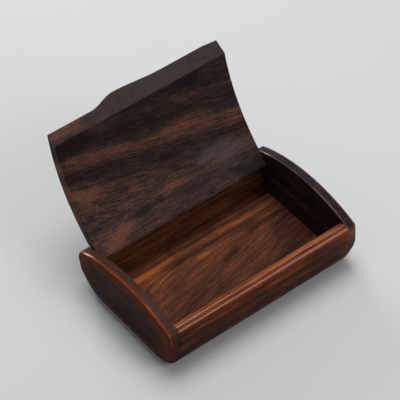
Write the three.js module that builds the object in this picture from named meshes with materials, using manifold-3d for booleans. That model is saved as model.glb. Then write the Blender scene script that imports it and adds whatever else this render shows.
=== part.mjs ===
// A small hardwood box with an arched lid that swings on two hidden pins.
// Millimetres, +Z up. X runs along the box, the front faces -Y, and the origin is
// the centre of the underside. The lid is shown open, leaning back.
import * as THREE from 'three';
import { mergeVertices } from 'three/addons/utils/BufferGeometryUtils.js';
import Module from 'manifold-3d';

const wasm = await Module();
wasm.setup();

// Body.
const INNER_LENGTH = 150;
const END_THICKNESS = 8;
const HALF_DEPTH = 52;
const CROWN_HEIGHT = 48.6;
const ARCH_RADIUS = 125;
const ARCH_CENTRE_Y = -3;
const SHOULDER_INSET = 1.7;
const FLAT_HALF_WIDTH = 39;
const WIDEST_HEIGHT = 24;
const END_EDGE_ROUND = 3.2;
const END_FOOT_RISE = 12;
const END_CORNER_INSET = 20;
const END_RINGS = 12;
const ARCH_STEPS = 44;
const SIDE_STEPS = 12;

// Rails and bottom board.
const RAIL_RIM_WIDTH = 3.8;
const LID_SEAT_WIDTH = 5;
const RIM_DROP = 0.5;
const RAIL_FOOT_HALF_WIDTH = 40.5;
const BOTTOM_THICKNESS = 4.2;
const REBATE_DEPTH = 1.2;
const TONGUE_LENGTH = 2.4;
const TONGUE_THICKNESS = 1.6;
const TONGUE_HEIGHT = 2;
const GROOVE_CLEARANCE = 0.1;

// Lid, drawn closed and then swung open about its pins.
const LID_SIDE_GAP = 0.9;
const LID_FRONT_GAP = 0.5;
const LID_REAR_GAP = 0.4;
const LID_CROWN_THICKNESS = 8.3;
const LID_INNER_RADIUS = 140;
const LID_EDGE_BEVEL = 9.5;
const LID_EDGE_RISE_DEG = 29;
const LID_FRONT_ROUND = 0.6;
const LID_REAR_ROUND = 2;
const LID_OPEN_DEG = 119.8;
const LID_ARC_STEPS = 26;
const LID_LENGTH_STEPS = 36;

// Thumb lip: a swelling of the lid's free edge, steep on its left. On its right it falls
// to a low shelf, which runs on to the end of the lid and thins out there.
const LIP_REACH = 4.8;
const LIP_CENTRE_X = -16;
const LIP_LEFT_WIDTH = 22;
const LIP_RIGHT_WIDTH = 40;
const LIP_BLEND = 17;
const SHELF_REACH = 2.6;
const SHELF_START = 20;
const SHELF_END_REACH = 1.6;
const SHELF_END_WIDTH = 14;

// Hinge pins and dowels.
const PIN_DIAMETER = 3;
const PIN_INSET = 7.4;
const PIN_IN_END = 5;
const PIN_IN_LID = 8;
const PIN_RUNNING_CLEARANCE = 0.15;
const HOLE_CLEARANCE = 0.05;
const HOLE_END_GAP = 0.3;
const COVE_CLEARANCE = 0.7;
const DOWEL_DIAMETER = 3;
const DOWEL_IN_END = 4.5;
const DOWEL_IN_RAIL = 7.5;
const FRONT_DOWEL_HEIGHTS = [12.5, 29];
const BACK_DOWEL_HEIGHTS = [10.5, 20.5];
const ROUND_SIDES = 24;

const halfInner = INNER_LENGTH / 2;
const archCentreZ = CROWN_HEIGHT - ARCH_RADIUS;
const archHeight = (y) =>
  archCentreZ + Math.sqrt(ARCH_RADIUS ** 2 - (y - ARCH_CENTRE_Y) ** 2);
const shoulderHalf = HALF_DEPTH - SHOULDER_INSET;
const rimY = RAIL_RIM_WIDTH - shoulderHalf;
const lidCentreZ = CROWN_HEIGHT - LID_CROWN_THICKNESS - LID_INNER_RADIUS;
const lidUnderside = (y) =>
  lidCentreZ + Math.sqrt(LID_INNER_RADIUS ** 2 - (y - ARCH_CENTRE_Y) ** 2);
const edgeRise = THREE.MathUtils.degToRad(LID_EDGE_RISE_DEG);
const lidHalf = halfInner - LID_SIDE_GAP;
const pinY = HALF_DEPTH - PIN_INSET;
const pinZ = (archHeight(pinY) + lidUnderside(pinY)) / 2;

// Points [|y|, z] of one side of the end outline, from the flat underside up to the arch.
// side is -1 for the front and 1 for the back, where the arch comes down lower.
function sidePoints(side) {
  const lower = new THREE.CubicBezierCurve(
    new THREE.Vector2(FLAT_HALF_WIDTH, 0),
    new THREE.Vector2(FLAT_HALF_WIDTH + (HALF_DEPTH - FLAT_HALF_WIDTH) * 0.6, 0),
    new THREE.Vector2(HALF_DEPTH, WIDEST_HEIGHT * 0.44),
    new THREE.Vector2(HALF_DEPTH, WIDEST_HEIGHT),
  );
  const top = archHeight(side * shoulderHalf);
  const upper = new THREE.CubicBezierCurve(
    new THREE.Vector2(HALF_DEPTH, WIDEST_HEIGHT),
    new THREE.Vector2(HALF_DEPTH, WIDEST_HEIGHT + (top - WIDEST_HEIGHT) * 0.45),
    new THREE.Vector2(shoulderHalf + SHOULDER_INSET * 0.75, top - (top - WIDEST_HEIGHT) * 0.2),
    new THREE.Vector2(shoulderHalf, top),
  );
  const points = lower.getPoints(SIDE_STEPS).concat(upper.getPoints(SIDE_STEPS / 2).slice(1));
  return points.map((p) => [p.x, p.y]);
}

// Points along the arch from one y to another.
function archPoints(fromY, toY, steps) {
  const points = [];
  for (let i = 0; i <= steps; i += 1) {
    const y = fromY + ((toY - fromY) * i) / steps;
    points.push([y, archHeight(y)]);
  }
  return points;
}

function outlinePoints() {
  const arch = archPoints(shoulderHalf, -shoulderHalf, ARCH_STEPS).slice(1, -1);
  const front = sidePoints(-1).map(([y, z]) => [-y, z]).reverse();
  return [...sidePoints(1), ...arch, ...front];
}

// A prism of a [y, z] outline, running along X from x0 to x1.
function prism(points, x0, x1, options = {}) {
  const shape = new THREE.Shape(points.map(([y, z]) => new THREE.Vector2(y, z)));
  const geometry = new THREE.ExtrudeGeometry(shape, {
    depth: x1 - x0,
    bevelEnabled: false,
    ...options,
  });
  geometry.applyMatrix4(
    new THREE.Matrix4().makeBasis(
      new THREE.Vector3(0, 1, 0),
      new THREE.Vector3(0, 0, 1),
      new THREE.Vector3(1, 0, 0),
    ),
  );
  return geometry.translate(x0, 0, 0);
}

function rod(diameter, x0, x1, y, z) {
  const geometry = new THREE.CylinderGeometry(diameter / 2, diameter / 2, x1 - x0, ROUND_SIDES);
  return geometry.rotateZ(Math.PI / 2).translate((x0 + x1) / 2, y, z);
}

function box(x0, x1, y0, y1, z0, z1) {
  const geometry = new THREE.BoxGeometry(x1 - x0, y1 - y0, z1 - z0);
  return geometry.translate((x0 + x1) / 2, (y0 + y1) / 2, (z0 + z1) / 2);
}

function toSolid(geometry) {
  geometry.deleteAttribute('normal');
  geometry.deleteAttribute('uv');
  const merged = mergeVertices(geometry, 1e-4);
  return new wasm.Manifold(
    new wasm.Mesh({
      numProp: 3,
      vertProperties: Float32Array.from(merged.attributes.position.array),
      triVerts: Uint32Array.from(merged.index.array),
    }),
  );
}

function toGeometry(solid) {
  const mesh = solid.getMesh();
  const geometry = new THREE.BufferGeometry();
  geometry.setAttribute('position', new THREE.BufferAttribute(mesh.vertProperties, 3));
  geometry.setIndex(new THREE.BufferAttribute(mesh.triVerts, 1));
  return geometry;
}

const union = (geometries) => geometries.map(toSolid).reduce((all, one) => all.add(one));
const cut = (solid, geometries) =>
  geometries.map(toSolid).reduce((left, tool) => left.subtract(tool), solid);

const wood = (color, roughness) =>
  new THREE.MeshStandardMaterial({ color, roughness, metalness: 0 });
const metal = (color, roughness) =>
  new THREE.MeshStandardMaterial({ color, roughness, metalness: 1 });

function named(name, geometry, material) {
  const mesh = new THREE.Mesh(geometry, material);
  mesh.name = name;
  return mesh;
}

// The front rail's rim rises from the shoulder to just under the arch, so that the thumb
// lip passes over it, and then a seat for the lid slopes down to the inside.
const seatTop = [rimY, archHeight(rimY) - RIM_DROP];
const seatFoot = [
  seatTop[0] + LID_SEAT_WIDTH * Math.cos(edgeRise),
  seatTop[1] - LID_SEAT_WIDTH * Math.sin(edgeRise),
];

// Inner face of a rail: it leans in a little towards the floor.
function railInnerHalfAt(z) {
  const share = (z - BOTTOM_THICKNESS) / (seatFoot[1] - BOTTOM_THICKNESS);
  return RAIL_FOOT_HALF_WIDTH + (-seatFoot[0] - RAIL_FOOT_HALF_WIDTH) * share;
}

// Half width of the outline at a height below the shoulder.
function outlineHalfAt(z) {
  const side = sidePoints(1);
  const above = side.findIndex((point) => point[1] > z);
  const [y0, z0] = side[above - 1];
  const [y1, z1] = side[above];
  return y0 + ((y1 - y0) * (z - z0)) / (z1 - z0);
}

const railBottom = BOTTOM_THICKNESS - REBATE_DEPTH;

// Dowel places [y, z] on one side of the box, midway through the rail.
const dowelPlaces = (heights, side) =>
  heights.map((z) => [(side * (railInnerHalfAt(z) + outlineHalfAt(z))) / 2, z]);
const frontDowels = dowelPlaces(FRONT_DOWEL_HEIGHTS, -1);
const backDowels = dowelPlaces(BACK_DOWEL_HEIGHTS, 1);

// Holes for the dowels in one rail, bored from both of its ends.
function railHoles(places) {
  const depth = DOWEL_IN_RAIL + HOLE_END_GAP;
  const diameter = DOWEL_DIAMETER + 2 * HOLE_CLEARANCE;
  return places.flatMap(([y, z]) => [
    rod(diameter, -halfInner - 1, -halfInner + depth, y, z),
    rod(diameter, halfInner - depth, halfInner + 1, y, z),
  ]);
}

// The outer face of a rail from its foot up to a height, as points going upwards.
function railOuterFace(side, topZ) {
  const inside = sidePoints(side).filter((point) => point[1] > railBottom && point[1] < topZ);
  return [[outlineHalfAt(railBottom), railBottom], ...inside];
}

function frontRail() {
  const outer = railOuterFace(-1, archHeight(-shoulderHalf) - 0.01).map(([y, z]) => [-y, z]);
  const points = [
    [-RAIL_FOOT_HALF_WIDTH, BOTTOM_THICKNESS],
    seatFoot,
    seatTop,
    [-shoulderHalf, archHeight(-shoulderHalf)],
    ...outer.reverse(),
    [-RAIL_FOOT_HALF_WIDTH, railBottom],
  ];
  return cut(toSolid(prism(points, -halfInner, halfInner)), railHoles(frontDowels));
}

// The lid's section while closed, as [y, z] points, with how far each point
// takes part in the thumb lip.
function lidSection() {
  const frontY = rimY + LID_FRONT_GAP;
  const tip = [frontY, archHeight(frontY)];
  const innerY = frontY + LID_EDGE_BEVEL * Math.cos(edgeRise);
  const inner = [innerY, lidUnderside(innerY)];
  const rearY = HALF_DEPTH - LID_REAR_GAP;
  const rearTop = archHeight(rearY - LID_REAR_ROUND);
  const rearLow = lidUnderside(rearY - LID_REAR_ROUND);
  const lipShare = (y) => {
    const t = THREE.MathUtils.clamp((frontY + LIP_BLEND - y) / LIP_BLEND, 0, 1);
    return t * t * (3 - 2 * t);
  };
  const section = [];
  const add = (y, z, share) => section.push({ y, z, share });
  add(inner[0], inner[1], 0);
  for (let i = 1; i < LID_ARC_STEPS; i += 1) {
    const y = innerY + ((rearY - LID_REAR_ROUND - innerY) * i) / LID_ARC_STEPS;
    add(y, lidUnderside(y), 0);
  }
  for (let i = 0; i <= 4; i += 1) {
    const a = -Math.PI / 2 + (Math.PI / 2) * (i / 4);
    const y = rearY + LID_REAR_ROUND * (Math.cos(a) - 1);
    add(y, rearLow + LID_REAR_ROUND * (Math.sin(a) + 1), 0);
  }
  for (let i = 0; i <= 4; i += 1) {
    const a = (Math.PI / 2) * (i / 4);
    const y = rearY + LID_REAR_ROUND * (Math.cos(a) - 1);
    add(y, rearTop + LID_REAR_ROUND * (Math.sin(a) - 1), 0);
  }
  for (let i = 1; i < LID_ARC_STEPS; i += 1) {
    const from = rearY - LID_REAR_ROUND;
    const y = from + ((tip[0] + LID_FRONT_ROUND - from) * i) / LID_ARC_STEPS;
    add(y, archHeight(y), lipShare(y));
  }
  add(tip[0] + LID_FRONT_ROUND, archHeight(tip[0] + LID_FRONT_ROUND), 1);
  add(tip[0], tip[1] - LID_FRONT_ROUND, 1);
  return section;
}

// How far the free edge swells at a place along the lid.
function lipAt(x) {
  const { smoothstep } = THREE.MathUtils;
  const offset = x - LIP_CENTRE_X;
  const width = offset < 0 ? LIP_LEFT_WIDTH : LIP_RIGHT_WIDTH;
  const swell = 1 - smoothstep(Math.abs(offset), 0, width);
  const thinning = smoothstep(x, lidHalf - SHELF_END_WIDTH, lidHalf);
  const shelf = SHELF_REACH - (SHELF_REACH - SHELF_END_REACH) * thinning;
  return (LIP_REACH - SHELF_REACH) * swell + shelf * smoothstep(offset, -SHELF_START, 0);
}

const section = lidSection();
// How far the lid's rear edge reaches from the pins, which the cove has to clear.
const tailReach = Math.max(
  ...section
    .filter(({ y, z }) => y > pinY && z < pinZ)
    .map(({ y, z }) => Math.hypot(y - pinY, z - pinZ)),
);
const coveRadius = tailReach + COVE_CLEARANCE;

function lid() {
  const geometry = prism(
    section.map(({ y, z }) => [y, z]),
    -lidHalf,
    lidHalf,
    { steps: LID_LENGTH_STEPS },
  );
  const position = geometry.attributes.position;
  for (let i = 0; i < position.count; i += 1) {
    const y = position.getY(i);
    const z = position.getZ(i);
    const near = nearest(section, y, z);
    const reach = near.share * lipAt(position.getX(i));
    position.setY(i, y - reach * Math.cos(edgeRise));
    position.setZ(i, z + reach * Math.sin(edgeRise));
  }
  const bore = PIN_DIAMETER + 2 * PIN_RUNNING_CLEARANCE;
  const depth = PIN_IN_LID + HOLE_END_GAP;
  return cut(toSolid(geometry), [
    rod(bore, -lidHalf - 1, -lidHalf + depth, pinY, pinZ),
    rod(bore, lidHalf - depth, lidHalf + 1, pinY, pinZ),
  ]);
}

// The back rail stops lower, and its top is a cove that the lid's rear edge turns in.
function backRail() {
  const top = pinZ;
  const points = [
    [RAIL_FOOT_HALF_WIDTH, railBottom],
    ...railOuterFace(1, top),
    [outlineHalfAt(top), top],
    [railInnerHalfAt(top), top],
    [RAIL_FOOT_HALF_WIDTH, BOTTOM_THICKNESS],
  ];
  const cove = new THREE.CylinderGeometry(coveRadius, coveRadius, INNER_LENGTH + 2, 96);
  cove.rotateZ(Math.PI / 2).translate(0, pinY, pinZ);
  return cut(toSolid(prism(points, -halfInner, halfInner)), [cove, ...railHoles(backDowels)]);
}

function bottomBoard() {
  const low = sidePoints(1).filter((point) => point[1] < railBottom - 0.01);
  const half = [
    ...low,
    [outlineHalfAt(railBottom), railBottom],
    [RAIL_FOOT_HALF_WIDTH, railBottom],
    [RAIL_FOOT_HALF_WIDTH, BOTTOM_THICKNESS],
  ];
  const mirrored = half.map(([y, z]) => [-y, z]).reverse();
  const reach = halfInner + TONGUE_LENGTH;
  return union([
    prism([...half, ...mirrored], -halfInner, halfInner),
    box(
      -reach,
      reach,
      -FLAT_HALF_WIDTH,
      FLAT_HALF_WIDTH,
      TONGUE_HEIGHT,
      TONGUE_HEIGHT + TONGUE_THICKNESS,
    ),
  ]);
}

// The outline of an end panel as { y, z, out } points, out being the outward normal.
function outlineWithNormals() {
  const points = outlinePoints();
  return points.map(([y, z], i) => {
    const before = points[(i + points.length - 1) % points.length];
    const after = points[(i + 1) % points.length];
    const out = new THREE.Vector2(after[1] - before[1], before[0] - after[0]).normalize();
    return { y, z, out };
  });
}

const nearest = (points, y, z) =>
  points.reduce((best, point) =>
    Math.hypot(point.y - y, point.z - z) < Math.hypot(best.y - y, best.z - z) ? point : best,
  );

// An end panel: full outline, flat inside, its outer rim rounded over and its foot
// tucked under. side is -1 for the left end and 1 for the right end.
function endPanel(side) {
  const along = (from, to) => [Math.min(side * from, side * to), Math.max(side * from, side * to)];
  const [x0, x1] = along(0, END_THICKNESS);
  const geometry = prism(outlinePoints(), x0, x1, { steps: END_RINGS });
  const outline = outlineWithNormals();
  const position = geometry.attributes.position;
  for (let i = 0; i < position.count; i += 1) {
    const angle = ((Math.abs(position.getX(i)) / END_THICKNESS) * Math.PI) / 2;
    const outward = END_THICKNESS * Math.sin(angle);
    const over = Math.max(0, 1 - (END_THICKNESS - outward) / END_EDGE_ROUND);
    const drop = END_EDGE_ROUND * (1 - Math.sqrt(Math.max(0, 1 - over ** 2)));
    const { y, z, out } = nearest(outline, position.getY(i), position.getZ(i));
    position.setX(i, side * (halfInner + outward));
    if (z >= WIDEST_HEIGHT) {
      position.setY(i, y - out.x * drop);
      position.setZ(i, z - out.y * drop);
    } else {
      const low = (WIDEST_HEIGHT - z) / WIDEST_HEIGHT;
      const tuck = 1 - Math.cos(angle);
      const corner = END_CORNER_INSET * tuck * low ** 2;
      position.setY(i, (y * (HALF_DEPTH - drop) * (HALF_DEPTH - corner)) / HALF_DEPTH ** 2);
      position.setZ(i, z + END_FOOT_RISE * tuck * low);
    }
  }
  const hole = (diameter, depth, y, z) =>
    rod(
      diameter + 2 * HOLE_CLEARANCE,
      ...along(halfInner - 1, halfInner + depth + HOLE_END_GAP),
      y,
      z,
    );
  return cut(toSolid(geometry), [
    box(
      ...along(halfInner - 1, halfInner + TONGUE_LENGTH + GROOVE_CLEARANCE),
      -FLAT_HALF_WIDTH - GROOVE_CLEARANCE,
      FLAT_HALF_WIDTH + GROOVE_CLEARANCE,
      TONGUE_HEIGHT - GROOVE_CLEARANCE,
      TONGUE_HEIGHT + TONGUE_THICKNESS + GROOVE_CLEARANCE,
    ),
    hole(PIN_DIAMETER, PIN_IN_END, pinY, pinZ),
    ...[...frontDowels, ...backDowels].map(([y, z]) =>
      hole(DOWEL_DIAMETER, DOWEL_IN_END, y, z),
    ),
  ]);
}

// A dowel or pin across the joint at one end of the box.
function crossRod(diameter, inEnd, inPiece, side, y, z) {
  const ends = [side * (halfInner + inEnd), side * (halfInner - inPiece)];
  return rod(diameter, Math.min(...ends), Math.max(...ends), y, z);
}

const darkWood = wood(0x2e1a13, 0.5);
const redWood = wood(0x5a2c18, 0.45);
const floorWood = wood(0x6b3a20, 0.6);
const lidWood = wood(0x33211b, 0.55);
const dowelWood = wood(0xa8825a, 0.8);
const pinMetal = metal(0xb08d4a, 0.35);

const object = new THREE.Group();
object.add(
  named('left_end_panel', toGeometry(endPanel(-1)), darkWood),
  named('right_end_panel', toGeometry(endPanel(1)), darkWood),
  named('front_rail', toGeometry(frontRail()), redWood),
  named('back_rail', toGeometry(backRail()), redWood),
  named('bottom_board', toGeometry(bottomBoard()), floorWood),
);

// The lid turns about the line through the two pins.
const swing = new THREE.Group();
const lidGeometry = toGeometry(lid()).translate(0, -pinY, -pinZ);
swing.add(named('lid', lidGeometry, lidWood));
swing.position.set(0, pinY, pinZ);
swing.rotation.x = THREE.MathUtils.degToRad(-LID_OPEN_DEG);
object.add(swing);

for (const [label, side] of [['left', -1], ['right', 1]]) {
  const pin = crossRod(PIN_DIAMETER, PIN_IN_END, LID_SIDE_GAP + PIN_IN_LID, side, pinY, pinZ);
  object.add(named(`${label}_pivot_pin`, pin, pinMetal));
  const rows = [['front', frontDowels], ['back', backDowels]];
  for (const [row, places] of rows) {
    const levels = ['lower', 'upper'];
    places.forEach(([y, z], i) => {
      const dowel = crossRod(DOWEL_DIAMETER, DOWEL_IN_END, DOWEL_IN_RAIL, side, y, z);
      object.add(named(`${label}_${row}_${levels[i]}_dowel`, dowel, dowelWood));
    });
  }
}

export default object;
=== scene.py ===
import math

import bmesh
import bpy
from mathutils import Matrix, Vector


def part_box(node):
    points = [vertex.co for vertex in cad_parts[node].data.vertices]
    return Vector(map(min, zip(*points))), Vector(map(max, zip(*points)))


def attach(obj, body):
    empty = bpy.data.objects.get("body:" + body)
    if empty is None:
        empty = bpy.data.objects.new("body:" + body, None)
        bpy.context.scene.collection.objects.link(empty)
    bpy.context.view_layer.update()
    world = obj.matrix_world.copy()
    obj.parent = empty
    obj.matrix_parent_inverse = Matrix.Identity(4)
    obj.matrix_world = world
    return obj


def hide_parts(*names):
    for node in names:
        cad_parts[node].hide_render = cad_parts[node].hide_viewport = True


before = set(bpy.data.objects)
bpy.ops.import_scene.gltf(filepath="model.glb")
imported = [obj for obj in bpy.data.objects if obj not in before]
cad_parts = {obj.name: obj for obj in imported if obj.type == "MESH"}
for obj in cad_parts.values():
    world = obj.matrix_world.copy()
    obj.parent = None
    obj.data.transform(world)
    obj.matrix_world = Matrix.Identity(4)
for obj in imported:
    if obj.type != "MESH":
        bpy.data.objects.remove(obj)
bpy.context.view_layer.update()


# Bottom board
# A flat board of the same rosewood, with the liveliest grain of the box: orange and dark
# streaks run the length of the floor. It is let into the rails and tongued into the ends.

MM = 0.001


def shade(red, green, blue):
    """A colour from 0 to 255 as it looks on a screen, as a shader colour."""
    shown = (red / 255, green / 255, blue / 255)
    linear = [((c + 0.055) / 1.055) ** 2.4 if c > 0.04045 else c / 12.92 for c in shown]
    return (*linear, 1.0)


class Socket:
    """One output in a node tree. Arithmetic on it adds Math nodes, and node() adds any other."""

    def __init__(self, tree, source=None):
        self.tree = tree
        self.source = source

    def node(self, kind, settings=None, inputs=None, output=0):
        made = self.tree.nodes.new(kind)
        for name, value in (settings or {}).items():
            if name == "stops":
                stops = made.color_ramp.elements
                stops[0].position, stops[0].color = value[0]
                stops[1].position, stops[1].color = value[-1]
                for place, colour in value[1:-1]:
                    stops.new(place).color = colour
            else:
                setattr(made, name, value)
        for key, value in (inputs or {}).items():
            if isinstance(value, Socket):
                self.tree.links.new(value.source, made.inputs[key])
            else:
                made.inputs[key].default_value = value
        return Socket(self.tree, made.outputs[output] if made.outputs else None)

    def maths(self, operation, *values):
        return self.node("ShaderNodeMath", {"operation": operation}, dict(enumerate(values)))

    def __add__(self, other):
        return self.maths("ADD", self, other)

    def __sub__(self, other):
        return self.maths("SUBTRACT", self, other)

    def __rsub__(self, other):
        return self.maths("SUBTRACT", other, self)

    def __mul__(self, other):
        return self.maths("MULTIPLY", self, other)

    def __truediv__(self, other):
        return self.maths("DIVIDE", self, other)

    def __pow__(self, other):
        return self.maths("POWER", self, other)

    __radd__ = __add__
    __rmul__ = __mul__

    def ease(self, low, high):
        """0 below low, 1 above high, and a smooth step between. low may be the larger."""
        return self.node(
            "ShaderNodeMapRange",
            {"interpolation_type": "SMOOTHSTEP"},
            {0: self, 1: low, 2: high, 3: 0.0, 4: 1.0},
        )

    def mix(self, first, second):
        """Self is the share of the second colour."""
        return self.node(
            "ShaderNodeMix", {"data_type": "RGBA"}, {0: self, 6: first, 7: second}, output=2
        )

    def stretched(self, x, y, z):
        return self.node(
            "ShaderNodeVectorMath", {"operation": "MULTIPLY"}, {0: self, 1: (x, y, z)}
        )

    def noise(self, scale, detail=3.0, roughness=0.5, distortion=0.0):
        return self.node(
            "ShaderNodeTexNoise",
            {"noise_dimensions": "3D"},
            {
                "Vector": self,
                "Scale": scale,
                "Detail": detail,
                "Roughness": roughness,
                "Distortion": distortion,
            },
        )


def rosewood(
    name, bands, tones, axes="XYZ", lean=None, tilt=None, sway=9, patches=(), knot=None, sheen_patch=None,
    worn_and_lit=None, worn_and_lit_width=2.3, glow=None, edge_sheen=None, turn=0, move=(0, 0, 0),
    gloss=0.3, figure=0.5, ink=0.4, polish=0.3, fibre=24, fleck=0.1,
):
    """Oiled rosewood. Places and lengths are in mm.

    bands are stops of how light the wood is across the board, as (place, lightness), and
    tones its four colours from dark to light. axes are the board's length, width and depth.
    turn, in degrees about X, and move lay a board that stands open flat.
    lean (slope, full until, none from) lets the grain run across the width, and tilt
    (slope, from) through the depth. sway is how far the bands wander.
    patches (at, aside, half length, half width, lift) are lighter or darker, knot is (at,
    aside), and sheen_patch (at, aside, half length, half width, height) is an oval of painted
    grey sheen, standing for light on the wood, below that height.
    worn_and_lit is the colour of rubbed edges, worn_and_lit_width wide, which take the polish:
    rubbing, and a painted highlight on them. glow is a painted glow of light on the wood beside
    them, and edge_sheen a painted grey sheen, for light from above, on the faces marked for it.
    gloss is the shine of the flat wood, figure the share of fibres against bands, ink the
    strength of the black lines, fibre the length of a fibre, and fleck the strength of the
    short flecks."""
    material = bpy.data.materials.new(name)
    material.use_nodes = True
    tree = material.node_tree
    tree.nodes.clear()
    start = Socket(tree)
    spot = start.node("ShaderNodeTexCoord", output="Object")
    spot = spot.node(
        "ShaderNodeMapping",
        {"vector_type": "POINT"},
        {
            "Vector": spot,
            "Location": move,
            "Rotation": (math.radians(turn), 0, 0),
            "Scale": (1 / MM, 1 / MM, 1 / MM),
        },
    )
    apart = "ShaderNodeSeparateXYZ"
    run, side, deep = (spot.node(apart, None, {0: spot}, output=axis) for axis in axes)

    def near(at, aside, long, wide):
        """How far a point is from the middle of an oval patch, 1 on its outline."""
        shares = {0: (run - at) / long, 1: (side - aside) / wide}
        away = start.node("ShaderNodeCombineXYZ", None, shares)
        return start.node("ShaderNodeVectorMath", {"operation": "LENGTH"}, {0: away}, output="Value")

    # The grain: it leans across the board, and parts round a knot.
    if tilt:
        side = side + (deep - tilt[1]) * tilt[0]
    across = side
    if lean:
        slope, full, none = lean
        across = side - run * side.ease(none, full) * slope
    if knot:
        across = across - near(*knot, 11, 6).ease(1.0, 0.0) * (side - knot[1]) * 0.7
    grain = start.node("ShaderNodeCombineXYZ", None, {0: run, 1: across, 2: deep})

    def fibres(length, width):
        """Coordinates in which a fibre has that length and width, in mm."""
        return grain.stretched(1 / length, 1 / width, 1 / width)

    # Broad bands that sway along the board, then streaks, hair lines and clouds.
    broad = fibres(80, 24).noise(1.0, 2.0) - 0.5
    wander = fibres(26, 5).noise(1.0, 3.0) - 0.5
    place = across + (broad + wander * 0.5) * sway
    low, high = bands[0][0], bands[-1][0]
    lightness = start.node(
        "ShaderNodeValToRGB",
        {"stops": [((at - low) / (high - low), (value, value, value, 1)) for at, value in bands]},
        {0: (place - low) / (high - low)},
    )
    streaks = fibres(60, 2.6).noise(1.0, 4.0, 0.6).ease(0.2, 0.8)
    hairs = fibres(fibre, 0.75).noise(1.0, 4.0, 0.7).ease(0.3, 0.7)
    clouds = fibres(30, 14).noise(1.0, 4.0, 0.6).ease(0.3, 0.7)
    flecks = fibres(3.2, 0.9).noise(1.0, 3.0, 0.7).ease(0.25, 0.75)
    tone = lightness * (1 - figure) + streaks * figure * 0.3 + hairs * figure * 0.7
    tone = tone + (clouds - 0.5) * 0.16 + (flecks - 0.5) * fleck
    for *oval, lift in patches:
        tone = tone + (near(*oval) + (clouds - 0.5) * 0.9).ease(1.0, 0.2) * lift
    stops = list(zip((0.0, 0.34, 0.68, 1.0), tones))
    colour = start.node("ShaderNodeValToRGB", {"stops": stops}, {0: tone.ease(0.08, 0.95)})
    # A painted grey sheen, standing for light on the wood: an oval patch, below a height.
    if sheen_patch:
        *oval, height = sheen_patch
        grey = (near(*oval) + (clouds - 0.5) * 1.2).ease(1.1, 0.2) * (0.3 + hairs * 0.5)
        grey = grey * deep.ease(height + 1, height - 1)
        colour = grey.mix(colour, shade(84, 70, 67))
    edge = start.node("ShaderNodeAttribute", {"attribute_name": "edge"}, output="Fac")
    # A painted glow of light on the wood near a rubbed edge, fading out over about 11 mm.
    if glow:
        warmth = (edge + (clouds - 0.5) * 5).ease(11.0, 0.5) * (0.35 + hairs * 0.5)
        colour = warmth.mix(colour, glow)
    # A painted grey sheen, standing for light reflected from above, on the faces marked for it: the
    # inner strip of an end's top and the lid's free edge face.
    if edge_sheen:
        cut = start.node("ShaderNodeAttribute", {"attribute_name": "cut"}, output="Fac").ease(0.6, 0.95)
        speckle = grain.noise(0.9, 3.0, 0.7).ease(0.3, 0.7)
        colour = (cut * (0.45 + speckle * 0.4)).mix(colour, edge_sheen)
    lines = fibres(90, 1.7).noise(1.0, 4.0, 0.55, 0.6).ease(0.4, 0.33)
    if knot:
        lines = start.maths("MAXIMUM", lines, near(*knot, 2.2, 1.1).ease(1.0, 0.5) * 1.6)
    colour = (lines * ink).mix(colour, shade(14, 9, 8))
    pores = fibres(4.5, 0.34).noise(1.0, 2.0, 0.5).ease(0.58, 0.68)
    colour = (pores * 0.6).mix(colour, shade(13, 8, 7))

    # Rubbed edges take a paler colour and more polish: real rubbing, with a painted highlight in the
    # colour.
    rubbed = 0.0
    if worn_and_lit:
        rubbed = (edge + fibres(14, 5).noise(1.0, 3.0) * worn_and_lit_width * 0.8).ease(worn_and_lit_width, worn_and_lit_width * 0.35)
        colour = (rubbed * (0.55 + hairs * 0.35) * (1 - pores * 0.5)).mix(colour, worn_and_lit)

    dull = fibres(24, 9).noise(1.0, 3.0, 0.6)
    roughness = (0.66 - gloss * 0.42) + (dull - 0.5) * 0.2 + pores * 0.2 - rubbed * polish * 0.3
    relief = hairs * 0.35 + streaks * 0.25 - pores * 1.2 + (dull - 0.5) * 0.5
    bump = {"Strength": 0.25, "Distance": 0.00012, "Height": relief}
    normal = start.node("ShaderNodeBump", None, bump, output="Normal")
    skin = start.node(
        "ShaderNodeBsdfPrincipled",
        None,
        {
            "Base Color": colour,
            "Roughness": roughness,
            "Normal": normal,
            "Coat Weight": rubbed * polish + 0.12 * gloss,
            "Coat Roughness": 0.16,
            "Coat IOR": 1.45,
            "IOR": 1.45,
            "Specular IOR Level": 0.06,
        },
    )
    skin.node("ShaderNodeOutputMaterial", None, {"Surface": skin})
    return material


FLOOR_BANDS = [
    (-60, 0.4), (-35, 0.45), (-25, 0.4), (-15, 0.45), (-6, 0.4), (4, 0.5), (11, 0.42), (16, 0.6),
    (20, 0.45), (24, 0.1), (27, 0.95), (29.5, 0.85), (31.5, 0.4), (34, 0.7), (37, 0.35), (46, 0.35),
]
FLOOR_TONES = (shade(40, 22, 16), shade(72, 41, 29), shade(100, 58, 38), shade(158, 86, 40))
floor_wood = rosewood(
    "floor_rosewood", FLOOR_BANDS, FLOOR_TONES, lean=(0.2, 6, 26), sway=5, knot=(-13, 6),
    patches=[(-45, 22, 26, 12, 0.2), (0, 17, 14, 4, 0.22), (62, -4, 56, 30, -0.14)],
    gloss=0.1, figure=0.5, ink=0.18,
)
bottom_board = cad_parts["bottom_board"]
bottom_board.data.materials.clear()
bottom_board.data.materials.append(floor_wood)


# End panels
# Two thick panels cut to one outline: flat foot, bulging sides and an arched top. The
# outer rim is rounded over and polished, and the foot is tucked under.

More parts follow.
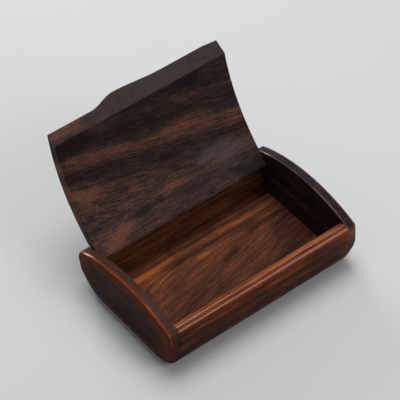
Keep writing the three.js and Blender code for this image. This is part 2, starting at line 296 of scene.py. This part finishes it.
INNER_LENGTH = 150
END_THICKNESS = 8
HALF_DEPTH = 52
SHOULDER = 50.3
WIDEST = 24
FOOT_HALF = 39
BODY_HEIGHT = 48.6
ARCH_RADIUS = 125
ARCH_Y = -3
ARCH_Z = BODY_HEIGHT - ARCH_RADIUS
SHOULDER_ROUND = 0.8
RIM_ROUND = 3.2
FOOT_TUCK = 12
CORNER_TUCK = 20
SIDE_STEPS = 24
ARCH_STEPS = 48
RIM_STEPS = 14
UNWORN_UNLIT = 9.0
RUBBED_AND_LIT_AT = 6.4
RUBBED_AND_LIT_FROM = 30
SHEEN_WIDTH = 4
SHEEN_FROM = 28
MIDDLE_HEIGHT = 22


def arch(y):
    """How high the arched top is at y."""
    return ARCH_Z + math.sqrt(ARCH_RADIUS**2 - (y - ARCH_Y) ** 2)


def bezier(points, steps):
    """Points [y, z] along a cubic curve, both of its ends included."""
    found = []
    for i in range(steps + 1):
        t = i / steps
        weights = ((1 - t) ** 3, 3 * t * (1 - t) ** 2, 3 * t * t * (1 - t), t**3)
        found.append([sum(w * p[k] for w, p in zip(weights, points)) for k in (0, 1)])
    return found


def bulge(side, steps):
    """One side of the outline, [|y|, z] from the foot up to the shoulder."""
    top = arch(side * SHOULDER)
    lower = bezier(
        [
            (FOOT_HALF, 0),
            (FOOT_HALF + (HALF_DEPTH - FOOT_HALF) * 0.6, 0),
            (HALF_DEPTH, WIDEST * 0.44),
            (HALF_DEPTH, WIDEST),
        ],
        steps,
    )
    upper = bezier(
        [
            (HALF_DEPTH, WIDEST),
            (HALF_DEPTH, WIDEST + (top - WIDEST) * 0.45),
            (SHOULDER + (HALF_DEPTH - SHOULDER) * 0.75, top - (top - WIDEST) * 0.2),
            (SHOULDER, top),
        ],
        steps // 2,
    )
    return lower + upper[1:]


def softened(points, radii, steps=4, support=0.35):
    """A closed [y, z] outline with the corners in radii (index: mm) rounded. Each point of
    the result has its distance from a rounded corner, and each straight span gets more."""
    rough = []
    for i, corner in enumerate(points):
        radius = radii.get(i)
        if radius is None:
            rough.append((*corner, UNWORN_UNLIT, False))
            continue
        here = Vector(corner)
        before = (Vector(points[i - 1]) - here).normalized()
        after = (Vector(points[(i + 1) % len(points)]) - here).normalized()
        half = before.angle(after) / 2
        reach = radius / math.tan(half)
        centre = here + (before + after).normalized() * (radius / math.sin(half))
        first, last = here + before * reach - centre, here + after * reach - centre
        turn = first.angle(last)
        rough.append((*(here + before * (reach + support)), support, False))
        for k in range(steps + 1):
            weights = [math.sin((1 - k / steps) * turn), math.sin(turn * k / steps)]
            spot = centre + (first * weights[0] + last * weights[1]) / math.sin(turn)
            rough.append((*spot, 0.0, True))
        rough.append((*(here + after * (reach + support)), support, False))
    found = []
    for i, (y, z, near, on_round) in enumerate(rough):
        found.append((y, z, near))
        y2, z2, near2, on_round2 = rough[(i + 1) % len(rough)]
        if on_round or on_round2:
            continue
        span = math.hypot(y2 - y, z2 - z)
        for t in (0.15, 0.5, 0.85):
            away = min(near + span * t, near2 + span * (1 - t))
            found.append((y + (y2 - y) * t, z + (z2 - z) * t, away))
    return found


def solid(name, rings, material, edges, sheen_shares=None):
    """A closed body through rings of points in mm, edges with each point's distance from a rubbed
    edge with its painted highlight, and sheen shares with 1 where a painted grey sheen goes."""
    mesh = bpy.data.meshes.new(name)
    count = len(rings[0])
    faces = []
    for r in range(len(rings) - 1):
        for i in range(count):
            here, beside = r * count + i, r * count + (i + 1) % count
            faces.append((here, beside, beside + count, here + count))
    faces.append(tuple(range(count))[::-1])
    faces.append(tuple((len(rings) - 1) * count + i for i in range(count)))
    mesh.from_pydata([Vector(p) * MM for ring in rings for p in ring], [], faces)
    mesh.validate()
    for label, values in (("edge", edges), ("cut", sheen_shares)):
        if values:
            mesh.attributes.new(label, "FLOAT", "POINT").data.foreach_set("value", sum(values, []))
    mesh.materials.append(material)
    made = bpy.data.objects.new(name, mesh)
    bpy.context.scene.collection.objects.link(made)
    work = bmesh.new()
    work.from_mesh(mesh)
    bmesh.ops.recalc_face_normals(work, faces=work.faces)
    work.to_mesh(mesh)
    work.free()
    mesh.shade_smooth()
    return made


def end_panel(side, name, material, fullness, arris):
    """One end. fullness is how much less its rim is rounded at the back, from 0 to 1, and
    arris how much less its inner arris takes the rubbed colour and painted highlight than its
    rim, in mm."""
    back, front = bulge(1, SIDE_STEPS), bulge(-1, SIDE_STEPS)
    across = [SHOULDER * (1 - i / ARCH_STEPS) for i in range(1, 2 * ARCH_STEPS)]
    outline = back + [[y, arch(y)] for y in across] + [[-y, z] for y, z in reversed(front)]
    corners = {len(back) - 1: SHOULDER_ROUND, len(back) + len(across): SHOULDER_ROUND}
    outline = [Vector((y, z)) for y, z, _ in softened(outline, corners)]
    count = len(outline)
    spans = [outline[(i + 1) % count] - outline[i] for i in range(count)]

    # Each point's way out is that of the outline within the rim's radius around it.
    normals = []
    for here in outline:
        near = [d for a, d in zip(outline, spans) if (a + d / 2 - here).length < RIM_ROUND]
        whole = sum(near, Vector((0, 0)))
        normals.append(Vector((whole.y, -whole.x)).normalized())

    # The edge from the inner face outwards, as (outward, drop): a small arris, then the rim.
    profile = [(0.0, 0.45), (0.08, 0.24), (0.24, 0.08), (0.45, 0.0), (0.9, 0.0), (2.4, 0.0)]
    arris_drop = profile[0][1]
    for i in range(1, RIM_STEPS + 1):
        outward = END_THICKNESS * math.sin(math.radians(20 + 70 * i / RIM_STEPS))
        over = max(0.0, 1 - (END_THICKNESS - outward) / RIM_ROUND)
        profile.append((outward, RIM_ROUND * (1 - math.sqrt(max(0.0, 1 - over**2)))))
    rings, edges, sheen_shares = [], [], []

    def ring(outward, drop, inset, distance, cut=0.0):
        tuck = 1 - math.sqrt(max(0.0, 1 - (outward / END_THICKNESS) ** 2))
        points = []
        for (y, z), out in zip(outline, normals):
            if z >= WIDEST:
                behind = min(1.0, max(0.0, (y - HALF_DEPTH / 2) / 20))
                fuller = 1 - fullness * behind * min(1.0, (z - WIDEST) / 6)
                py, pz = y - out.x * drop * fuller, z - out.y * drop * fuller
            else:
                low = (WIDEST - z) / WIDEST
                tucked = HALF_DEPTH - CORNER_TUCK * tuck * low**2
                py = y * (HALF_DEPTH - drop) * tucked / HALF_DEPTH**2
                pz = z + FOOT_TUCK * tuck * low
            keep = 1 - inset / HALF_DEPTH
            height = MIDDLE_HEIGHT + (pz - MIDDLE_HEIGHT) * keep
            points.append((side * (INNER_LENGTH / 2 + outward), py * keep, height))
        rings.append(points)
        # Lower down the edge counts as further off, so the rubbed colour with its painted highlight,
        # and the painted glow, stay near the top.
        edges.append([distance + max(0.0, RUBBED_AND_LIT_FROM - p[2]) / 4 for p in points])
        # The painted grey sheen goes on the inner strip of the top, above a height.
        sheen_shares.append([cut * min(1.0, max(0.0, (p[2] - SHEEN_FROM) / 6)) for p in points])

    # The inner face from its middle outwards, the edge, and the outer face back to its middle.
    for inset in (26, 12, 5, 1.2):
        ring(0.0, arris_drop, inset, inset)
    for outward, drop in profile:
        distance = min(abs(outward - RUBBED_AND_LIT_AT), outward + arris) * 1.2
        ring(outward, drop, 0, distance, 1.0 if outward < SHEEN_WIDTH else 0.0)
    for inset in (0.7, 2.5, 7, 16, 30):
        ring(END_THICKNESS, RIM_ROUND, inset, (END_THICKNESS - RUBBED_AND_LIT_AT) * 1.2 + inset * 0.5)
    made = solid(name, rings, material, edges, sheen_shares)
    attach(made, "case")
    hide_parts(name)


END_BANDS = [(0, 0.2), (9, 0.5), (15, 0.2), (22, 0.5), (28, 0.25), (35, 0.4), (42, 0.25), (50, 0.35)]
LEFT_TONES = (shade(24, 11, 7), shade(46, 22, 13), shade(68, 32, 18), shade(104, 50, 26))
RIGHT_TONES = (shade(18, 12, 12), shade(42, 30, 28), shade(72, 52, 46), shade(150, 82, 46))
# The left end's first patch darkens its outer face along the foot: painted shade. Its glow is painted
# light near the rim, its rubbed rim is orange from rubbing and a painted highlight, and the grey on the
# inner strip of its top is a painted reflection of light from above.
left_wood = rosewood(
    "left_end_rosewood", END_BANDS, LEFT_TONES, axes="YZX",
    patches=[(0, 2, 70, 13, -0.22), (-52, 34, 6, 10, -0.5)],
    worn_and_lit=shade(138, 64, 28), glow=shade(98, 43, 21), edge_sheen=shade(60, 47, 44),
    gloss=0.2, figure=0.45, polish=0.5,
)
# The right end's rubbed rim and inner arris are pale from rubbing and a painted highlight.
right_wood = rosewood(
    "right_end_rosewood", END_BANDS, RIGHT_TONES, axes="YZX",
    patches=[(-53, 34, 6, 14, 0.3), (-40, 12, 20, 9, 0.2)],
    worn_and_lit=shade(90, 66, 56), gloss=0.2, figure=0.45, polish=0.6,
)
end_panel(-1, "left_end_panel", left_wood, fullness=0.85, arris=9)
end_panel(1, "right_end_panel", right_wood, fullness=0.3, arris=0)


# Front and back rails
# Two boards with a bulging face, butted between the ends. The front one has a narrow rim
# and a sloping seat that the lid closes on; the back one ends in a cove under the lid.

RAIL_FOOT = 40.5
RAIL_LOW = 3
RAIL_SLICES = 60
FLOOR_TOP = 4.2
ARRIS_ROUND = 0.5
RIM_Y = -46.5
RIM_DROP = 0.5
RIM_Z = arch(RIM_Y) - RIM_DROP
RIM_EDGE_ROUND = 0.7
SEAT_WIDTH = 5
SEAT_SLOPE = math.radians(29)
SEAT_FOOT = (RIM_Y + SEAT_WIDTH * math.cos(SEAT_SLOPE), RIM_Z - SEAT_WIDTH * math.sin(SEAT_SLOPE))
LEAN_HEIGHT = 18
LEAN = 0.6
PIN_Y = 44.6
PIN_Z = 35.571
BACK_TOP = 30.43
COVE_RADIUS = 8.81
COVE_END = math.radians(-108.5)
COVE_STEPS = 12


def face_from(side, low, high):
    """The bulging outer face between two heights, [|y|, z] going up."""
    points = bulge(side, SIDE_STEPS)
    spare = 0.2
    ends = []
    for z in (low, high):
        above = next(i for i, p in enumerate(points) if p[1] > z)
        (y0, z0), (y1, z1) = points[above - 1], points[above]
        ends.append([y0 + (y1 - y0) * (z - z0) / (z1 - z0), z])
    return [ends[0], *[p for p in points if low + spare < p[1] < high - spare], ends[1]]


def rail(name, section, material):
    """A board along X; section(x) gives its [y, z, distance from a rubbed edge and its painted
    highlight] points.
    """
    places = [INNER_LENGTH * (i / RAIL_SLICES - 0.5) for i in range(RAIL_SLICES + 1)]
    sections = [section(x) for x in places]
    rings = [[(x, y, z) for y, z, _ in points] for x, points in zip(places, sections)]
    made = solid(name, rings, material, [[d for _, _, d in points] for points in sections])
    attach(made, "case")
    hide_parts(name)


def front_section(x):
    """The front rail at x: inner face, seat, rim and outer face. Its outer arris is rubbed
    rounder towards the right."""
    shoulder = [-SHOULDER, arch(-SHOULDER)]
    outer = [[-y, z] for y, z in face_from(-1, RAIL_LOW, shoulder[1] - 3)]
    points = [
        [-RAIL_FOOT, FLOOR_TOP],
        [-RAIL_FOOT - LEAN, LEAN_HEIGHT],
        list(SEAT_FOOT),
        [RIM_Y, RIM_Z],
        shoulder,
        *reversed(outer),
        [-RAIL_FOOT, RAIL_LOW],
    ]
    rubbed = 0.75 + 0.6 * (0.5 + 0.5 * math.tanh((x - 5) / 22))
    return softened(points, {2: ARRIS_ROUND, 3: RIM_EDGE_ROUND, 4: rubbed}, steps=5)


def back_section(x):
    """The back rail, the same at every x: outer face, cove about the pins and inner face."""
    outer = face_from(1, RAIL_LOW, BACK_TOP)
    start = math.atan2(BACK_TOP - PIN_Z, outer[-1][0] - PIN_Y)
    cove = []
    for i in range(1, COVE_STEPS + 1):
        angle = start + (COVE_END - start) * i / COVE_STEPS
        cove.append([PIN_Y + COVE_RADIUS * math.cos(angle), PIN_Z + COVE_RADIUS * math.sin(angle)])
    points = [[RAIL_FOOT, RAIL_LOW], *outer, *cove, [RAIL_FOOT, FLOOR_TOP]]
    last = len(outer)
    corners = {last: ARRIS_ROUND, last + COVE_STEPS: ARRIS_ROUND}
    return softened(points, corners, steps=4, support=0.2)


# Across its height the front rail is dark at the foot of its face and lightest on the seat and rim:
# painted shade low down and a painted highlight on top, over the grain. Its rubbed outer arris is pale
# from rubbing and a painted highlight.
FRONT_BANDS_AND_PAINTED_LIGHT = [
    (-4, 0.1), (6, 0.2), (11, 0.4), (15, 0.15), (20, 0.6), (25, 0.3), (29, 0.7), (33, 0.5), (36.5, 0.8),
    (39, 0.75), (41, 0.65), (44, 0.7), (45.6, 1.0), (48, 1.0), (50, 0.7), (56, 0.4),
]
FRONT_TONES = (shade(22, 10, 6), shade(53, 23, 12), shade(92, 42, 18), shade(160, 84, 42))
BACK_BANDS = [(0, 0.4), (8, 0.5), (13, 0.7), (17, 0.35), (22, 0.6), (27, 0.45), (32, 0.5)]
BACK_TONES = (shade(36, 20, 14), shade(68, 39, 26), shade(100, 58, 36), shade(140, 82, 45))
front_wood = rosewood(
    "front_rail_rosewood", FRONT_BANDS_AND_PAINTED_LIGHT, FRONT_TONES, axes="XZY", tilt=(1.5, -50), sway=3,
    worn_and_lit=shade(150, 98, 78), worn_and_lit_width=0.9, gloss=0.4, figure=0.45, polish=1.0, ink=0.25,
)
back_wood = rosewood("back_rail_rosewood", BACK_BANDS, BACK_TONES, axes="XZY", gloss=0.2, figure=0.5)
rail("front_rail", front_section, front_wood)
rail("back_rail", back_section, back_wood)


# Dowels and pivot pins
# Eight short birch dowels join the rails to the ends, and two brass rods, fixed in the
# ends, carry the lid. All of them are hidden, apart from a glimpse of the pins.

DOWEL_RADIUS = 1.5
DOWEL_LENGTH = 12
DOWEL_CHAMFER = 0.4
PIN_RADIUS = 1.5
PIN_LENGTH = 13.9
PIN_CHAMFER = 0.3


def rods(name, nodes, radius, length, chamfer, material):
    """One rod with chamfered ends on each of these nodes' places, lying along X."""
    places = bpy.data.meshes.new(name)
    centres = [sum(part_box(node), Vector()) / 2 for node in nodes]
    places.from_pydata(centres, [], [])
    made = bpy.data.objects.new(name, places)
    bpy.context.scene.collection.objects.link(made)
    tree = bpy.data.node_groups.new(name, "GeometryNodeTree")
    tree.interface.new_socket("Geometry", in_out="INPUT", socket_type="NodeSocketGeometry")
    sizes = {"Radius": radius * MM, "Length": length * MM, "Chamfer": chamfer * MM}
    keys = {}
    for label, size in sizes.items():
        socket = tree.interface.new_socket(label, in_out="INPUT", socket_type="NodeSocketFloat")
        keys[socket.identifier] = size
    tree.interface.new_socket("Geometry", in_out="OUTPUT", socket_type="NodeSocketGeometry")
    start = Socket(tree)
    entry = tree.nodes.new("NodeGroupInput")
    given = {label: Socket(tree, entry.outputs[label]) for label in ("Geometry", *sizes)}
    body = start.node(
        "GeometryNodeMeshCylinder",
        {"fill_type": "NGON"},
        {"Vertices": 32, "Radius": given["Radius"], "Depth": given["Length"] - given["Chamfer"] * 2},
    )
    tip = start.node(
        "GeometryNodeMeshCone",
        {"fill_type": "NGON"},
        {
            "Vertices": 32,
            "Radius Top": given["Radius"] - given["Chamfer"],
            "Radius Bottom": given["Radius"],
            "Depth": given["Chamfer"],
        },
    )
    rise = start.node(
        "ShaderNodeCombineXYZ", None, {"Z": given["Length"] * 0.5 - given["Chamfer"]}
    )
    upper = start.node("GeometryNodeTransform", None, {"Geometry": tip, "Translation": rise})
    lower = start.node("GeometryNodeTransform", None, {"Geometry": upper, "Rotation": (math.pi, 0, 0)})
    joined = tree.nodes.new("GeometryNodeJoinGeometry")
    for part in (body, upper, lower):
        tree.links.new(part.source, joined.inputs[0])
    whole = start.node(
        "GeometryNodeMergeByDistance",
        None,
        {"Geometry": Socket(tree, joined.outputs[0]), "Distance": 1e-6},
    )
    placed = start.node(
        "GeometryNodeInstanceOnPoints",
        None,
        {"Points": given["Geometry"], "Instance": whole, "Rotation": (0, math.pi / 2, 0)},
    )
    real = start.node("GeometryNodeRealizeInstances", None, {"Geometry": placed})
    real = start.node("GeometryNodeSetMaterial", None, {"Geometry": real, "Material": material})
    ending = tree.nodes.new("NodeGroupOutput")
    tree.links.new(real.source, ending.inputs[0])
    modifier = made.modifiers.new(name, "NODES")
    modifier.node_group = tree
    for key, size in keys.items():
        modifier[key] = size
    dressed = bpy.data.meshes.new_from_object(made.evaluated_get(bpy.context.evaluated_depsgraph_get()))
    made.modifiers.clear()
    made.data = dressed
    dressed.set_sharp_from_angle(angle=math.radians(30))
    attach(made, "case")
    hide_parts(*nodes)


birch = bpy.data.materials.new("birch_dowel")
birch.use_nodes = True
wood = Socket(birch.node_tree)
grain = wood.node("ShaderNodeTexCoord", output="Object").stretched(120, 1900, 1900).noise(1.0, 4.0)
birch_skin = birch.node_tree.nodes["Principled BSDF"]
birch_tone = grain.ease(0.3, 0.7).mix(shade(172, 134, 92), shade(205, 172, 128))
birch.node_tree.links.new(birch_tone.source, birch_skin.inputs["Base Color"])
birch.node_tree.links.new((0.7 + grain * 0.15).source, birch_skin.inputs["Roughness"])

brass = bpy.data.materials.new("pin_brass")
brass.use_nodes = True
metal = Socket(brass.node_tree)
drawn = metal.node("ShaderNodeTexCoord", output="Object").stretched(200, 9000, 9000).noise(1.0, 3.0)
brass_skin = brass.node_tree.nodes["Principled BSDF"]
brass_skin.inputs["Metallic"].default_value = 1.0
brass_tone = drawn.ease(0.3, 0.7).mix(shade(168, 132, 72), shade(202, 168, 102))
brass.node_tree.links.new(brass_tone.source, brass_skin.inputs["Base Color"])
brass.node_tree.links.new((0.28 + drawn * 0.2).source, brass_skin.inputs["Roughness"])

DOWELS = [
    f"{end}_{row}_{level}_dowel"
    for end in ("left", "right")
    for row in ("front", "back")
    for level in ("lower", "upper")
]
PINS = ["left_pivot_pin", "right_pivot_pin"]
rods("dowels", DOWELS, DOWEL_RADIUS, DOWEL_LENGTH, DOWEL_CHAMFER, birch)
rods("pivot_pins", PINS, PIN_RADIUS, PIN_LENGTH, PIN_CHAMFER, brass)


# Lid
# One arched board, about 8 mm thick, bevelled under its free edge and swollen there into
# a thumb lip. It is drawn closed and then swung open about the two pins.

LID_OPEN = 119.8
LID_ARRIS = 0.45
EDGE_RISE = SEAT_SLOPE
LID = {
    "Length": 148.2,
    "Front": RIM_Y + 0.5,
    "Rear": 51.6,
    "Arch radius": ARCH_RADIUS,
    "Arch height": ARCH_Z,
    "Arch centre": ARCH_Y,
    "Hollow radius": 140.0,
    "Hollow height": BODY_HEIGHT - 8.3 - 140,
    "Thickness": 8.0,
    "Rear thickness": 7.2,
    "Rear round": 2.0,
    "Bevel": 9.5,
    "Lip reach": 4.75,
    "Lip centre": -16.0,
    "Lip left": 22.0,
    "Lip right": 40.0,
    "Lip blend": 17.0,
    "Shelf reach": 2.55,
    "Shelf start": 20.0,
    "Shelf end reach": 1.55,
    "Shelf end width": 14.0,
    "Open": math.radians(LID_OPEN),
}


def lid_board(name, sizes, material):
    """The lid, with each of its sizes as an input of its tree."""
    made = bpy.data.objects.new(name, bpy.data.meshes.new(name))
    bpy.context.scene.collection.objects.link(made)
    tree = bpy.data.node_groups.new(name, "GeometryNodeTree")
    keys = {}
    for label, size in sizes.items():
        socket = tree.interface.new_socket(label, in_out="INPUT", socket_type="NodeSocketFloat")
        keys[socket.identifier] = size
    tree.interface.new_socket("Geometry", in_out="OUTPUT", socket_type="NodeSocketGeometry")
    start = Socket(tree)
    entry = tree.nodes.new("NodeGroupInput")
    g = {label: Socket(tree, entry.outputs[label]) for label in sizes}

    def part(socket, axis):
        return socket.node("ShaderNodeSeparateXYZ", None, {0: socket}, output=axis)

    # A block of 1 by 1 by 1, whose points take their shares of length, depth and thickness.
    block = start.node(
        "GeometryNodeMeshCube",
        None,
        {"Size": (1, 1, 1), "Vertices X": 112, "Vertices Y": 64, "Vertices Z": 15},
    )
    share = start.node("GeometryNodeInputPosition")
    x = part(share, "X") * g["Length"]
    back = part(share, "Y") + 0.5
    up = part(share, "Z") + 0.5
    front_y = g["Front"] + (1 - up) * g["Bevel"] * math.cos(EDGE_RISE)
    flat = g["Rear thickness"] * 0.5 - g["Rear round"]
    over = start.maths("ABSOLUTE", up - 0.5) * g["Rear thickness"] - flat
    over = start.maths("MAXIMUM", over, 0.0) / g["Rear round"]
    rear_y = g["Rear"] - g["Rear round"] * (1 - start.maths("SQRT", 1 - over * over))
    depth = rear_y - front_y
    y = front_y + back * depth

    def curve(radius, height):
        return g[height] + start.maths("SQRT", g[radius] * g[radius] - (y - g["Arch centre"]) ** 2.0)

    hollow = curve("Hollow radius", "Hollow height")
    z = hollow + up * (curve("Arch radius", "Arch height") - hollow)

    # The thumb lip: the free edge reaches out along the bevel, fading to the left and back,
    # and on the right falls to a shelf that runs to the end.
    offset = x - g["Lip centre"]
    left = start.maths("MAXIMUM", (0 - offset) / g["Lip left"], 0.0)
    right = start.maths("MAXIMUM", offset / g["Lip right"], 0.0)
    fade = ((g["Front"] + g["Lip blend"] - y) / g["Lip blend"]).ease(0.0, 1.0)
    thinning = ((x - g["Length"] * 0.5) / g["Shelf end width"] + 1).ease(0.0, 1.0)
    shelf = g["Shelf reach"] - (g["Shelf reach"] - g["Shelf end reach"]) * thinning
    shelf = shelf * (offset / g["Shelf start"] + 1).ease(0.0, 1.0)
    swell = (g["Lip reach"] - g["Shelf reach"]) * (left + right).ease(1.0, 0.0)
    reach = (swell + shelf) * fade * up
    place = start.node(
        "ShaderNodeCombineXYZ",
        None,
        {
            "X": x,
            "Y": y - reach * math.cos(EDGE_RISE) - PIN_Y,
            "Z": z + reach * math.sin(EDGE_RISE) - PIN_Z,
        },
    )

    # Distance from the nearest arris: the middle one of the distances from three pairs of
    # faces. The inner arrises are less rubbed and take less painted highlight, so they count as further
    # off.
    ends = g["Length"] * 0.5 - start.maths("ABSOLUTE", x)
    rims = start.maths("MINIMUM", back, 1 - back) * depth
    skins = start.maths("MINIMUM", up, 1 - up) * g["Thickness"]
    least, most = start.maths("MINIMUM", ends, rims), start.maths("MAXIMUM", ends, rims)
    edge = start.maths("MAXIMUM", least, start.maths("MINIMUM", most, skins)) + (1 - up) * 3

    shaped = start.node(
        "GeometryNodeStoreNamedAttribute",
        {"data_type": "FLOAT", "domain": "POINT"},
        {"Geometry": block, "Name": "edge", "Value": edge},
    )

    # The free edge face takes a painted grey sheen, standing for light from above, with less of it
    # towards its left end.
    less = {"data_type": "FLOAT", "operation": "LESS_THAN"}
    cut = start.node("FunctionNodeCompare", less, {0: back, 1: 1e-4})
    cut = cut * (1 - x.ease(-32.0, -44.0) * 0.25)
    shaped = start.node(
        "GeometryNodeStoreNamedAttribute",
        {"data_type": "FLOAT", "domain": "POINT"},
        {"Geometry": shaped, "Name": "cut", "Value": cut},
    )

    # In metres about the pins, swung open, and then moved up to them.
    spots = place.stretched(MM, MM, MM)
    shaped = start.node("GeometryNodeSetPosition", None, {"Geometry": shaped, "Position": spots})
    swing = start.node("ShaderNodeCombineXYZ", None, {"X": 0 - g["Open"]})
    swing = start.node("FunctionNodeEulerToRotation", None, {"Euler": swing})
    shaped = start.node(
        "GeometryNodeTransform",
        None,
        {"Geometry": shaped, "Translation": (0, PIN_Y * MM, PIN_Z * MM), "Rotation": swing},
    )
    shaped = start.node("GeometryNodeSetShadeSmooth", None, {"Geometry": shaped})
    shaped = start.node("GeometryNodeRealizeInstances", None, {"Geometry": shaped})
    shaped = start.node("GeometryNodeSetMaterial", None, {"Geometry": shaped, "Material": material})
    shaped.node("NodeGroupOutput", None, {0: shaped})
    modifier = made.modifiers.new(name, "NODES")
    modifier.node_group = tree
    for key, size in keys.items():
        modifier[key] = size
    board = bpy.data.meshes.new_from_object(made.evaluated_get(bpy.context.evaluated_depsgraph_get()))
    made.modifiers.clear()
    made.data = board
    arris = made.modifiers.new("arris", "BEVEL")
    arris.limit_method = "ANGLE"
    arris.angle_limit = math.radians(40)
    arris.width = LID_ARRIS * MM
    arris.segments = 3
    arris.harden_normals = True
    return made


LID_BANDS = [
    (-62, 0.3), (-52, 0.35), (-45, 0.3), (-38, 0.12), (-33, 0.2), (-30, 0.45), (-26, 0.3), (-19, 0.08),
    (-13, 0.35), (-8, 0.85), (-2, 0.6), (3, 0.15), (6, 0.12), (11, 0.4), (18, 0.55), (25, 0.4),
    (30, 0.6), (36, 0.3), (42, 0.5), (60, 0.4),
]
LID_TONES = (shade(26, 19, 19), shade(47, 34, 32), shade(70, 48, 42), shade(104, 64, 48))
# The last patch darkens the lid's rear right corner, which hangs lowest and nearest the right end when
# the lid is open: painted shade.
LID_PATCHES = [
    (-58, -46, 26, 7.5, 0.5), (-75, 0, 1.8, 70, 0.35), (30, -6, 30, 7, 0.2), (2, 30, 20, 6, 0.25),
    (-27, 19, 9, 6, 0.2), (-55, 40, 30, 12, 0.38), (-62, 10, 24, 13, 0.38), (50, -40, 40, 12, -0.12),
    (-29, 36, 20, 4, -0.2), (-58, -27, 26, 9, -0.35), (60, 44, 26, 12, -0.3),
]
LID_MOVE = (
    0,
    PIN_Y - PIN_Y * math.cos(LID["Open"]) + PIN_Z * math.sin(LID["Open"]),
    PIN_Z - PIN_Y * math.sin(LID["Open"]) - PIN_Z * math.cos(LID["Open"]),
)
# On the lid, the grey oval low on the inner face at the right is a painted sheen, the outer arris is
# pale from rubbing and a painted highlight, and the free edge face has a painted grey sheen for light
# from above.
lid_wood = rosewood(
    "lid_rosewood", LID_BANDS, LID_TONES, lean=(0.19, 15, 42), patches=LID_PATCHES,
    sheen_patch=(48, 30, 26, 11, 41), worn_and_lit=shade(100, 68, 57), worn_and_lit_width=1.2, edge_sheen=shade(64, 55, 54),
    turn=LID_OPEN, move=LID_MOVE,
    gloss=0.2, figure=0.5, ink=0.3, polish=0.1, fibre=15, fleck=0.3,
)
lid = lid_board("lid", LID, lid_wood)
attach(lid, "lid_body")
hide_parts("lid")


# Studio
# A plain pale floor, large soft lamps above and behind, a soft fill from the front, and a
# long lens from the front left, well above the box.

floor = bpy.data.objects.new("floor", bpy.data.meshes.new("floor"))
floor.data.from_pydata([(-3, -3, 0), (3, -3, 0), (3, 3, 0), (-3, 3, 0)], [], [(0, 1, 2, 3)])
paper = bpy.data.materials.new("paper")
paper.use_nodes = True
paper.node_tree.nodes["Principled BSDF"].inputs["Base Color"].default_value = (0.53, 0.53, 0.54, 1)
paper.node_tree.nodes["Principled BSDF"].inputs["Roughness"].default_value = 0.9
floor.data.materials.append(paper)
bpy.context.scene.collection.objects.link(floor)


def lamp(name, place, target, size, power):
    light = bpy.data.lights.new(name, "AREA")
    light.shape = "RECTANGLE"
    light.size, light.size_y = size
    light.energy = power
    made = bpy.data.objects.new(name, light)
    made.location = place
    made.rotation_euler = (Vector(target) - Vector(place)).to_track_quat("-Z", "Y").to_euler()
    bpy.context.scene.collection.objects.link(made)


lamp("rim_softbox", (0.3, 1.3, 0.5), (0, 0, 0.03), (0.6, 0.25), 9)
lamp("top_softbox", (0.15, 0.25, 1.4), (0, 0.02, 0.03), (0.8, 0.8), 14)
lamp("front_fill", (0.5, -1.0, 1.0), (0, 0.02, 0.05), (0.7, 0.7), 5)

world = bpy.data.worlds.new("room")
world.use_nodes = True
world.node_tree.nodes["Background"].inputs["Color"].default_value = (0.9, 0.92, 0.95, 1)
world.node_tree.nodes["Background"].inputs["Strength"].default_value = 0.35
bpy.context.scene.world = world

scene = bpy.context.scene
scene.view_settings.view_transform = "Standard"
FOCAL_PIXELS = 2275.47
PICTURE_PIXELS = 400
SENSOR_WIDTH = 36
around, above = math.radians(-38.47), math.radians(47.31)
right = Vector((math.cos(around), math.sin(around), 0))
level = Vector((math.sin(around), -math.cos(around), 0))
back = level * math.cos(above) + Vector((0, 0, math.sin(above)))
up = back.cross(right)
eye = Vector((0, 20, 0)) - right * 0.45 + up * 40.38 + back * 1616.35
lens = bpy.data.cameras.new("camera")
lens.sensor_width = SENSOR_WIDTH
lens.lens = FOCAL_PIXELS * SENSOR_WIDTH / PICTURE_PIXELS
lens.clip_start = 0.01
camera = bpy.data.objects.new("camera", lens)
turned = Matrix((right, up, back)).transposed().to_4x4()
camera.matrix_world = Matrix.Translation(eye * MM) @ turned
scene.collection.objects.link(camera)
scene.camera = camera
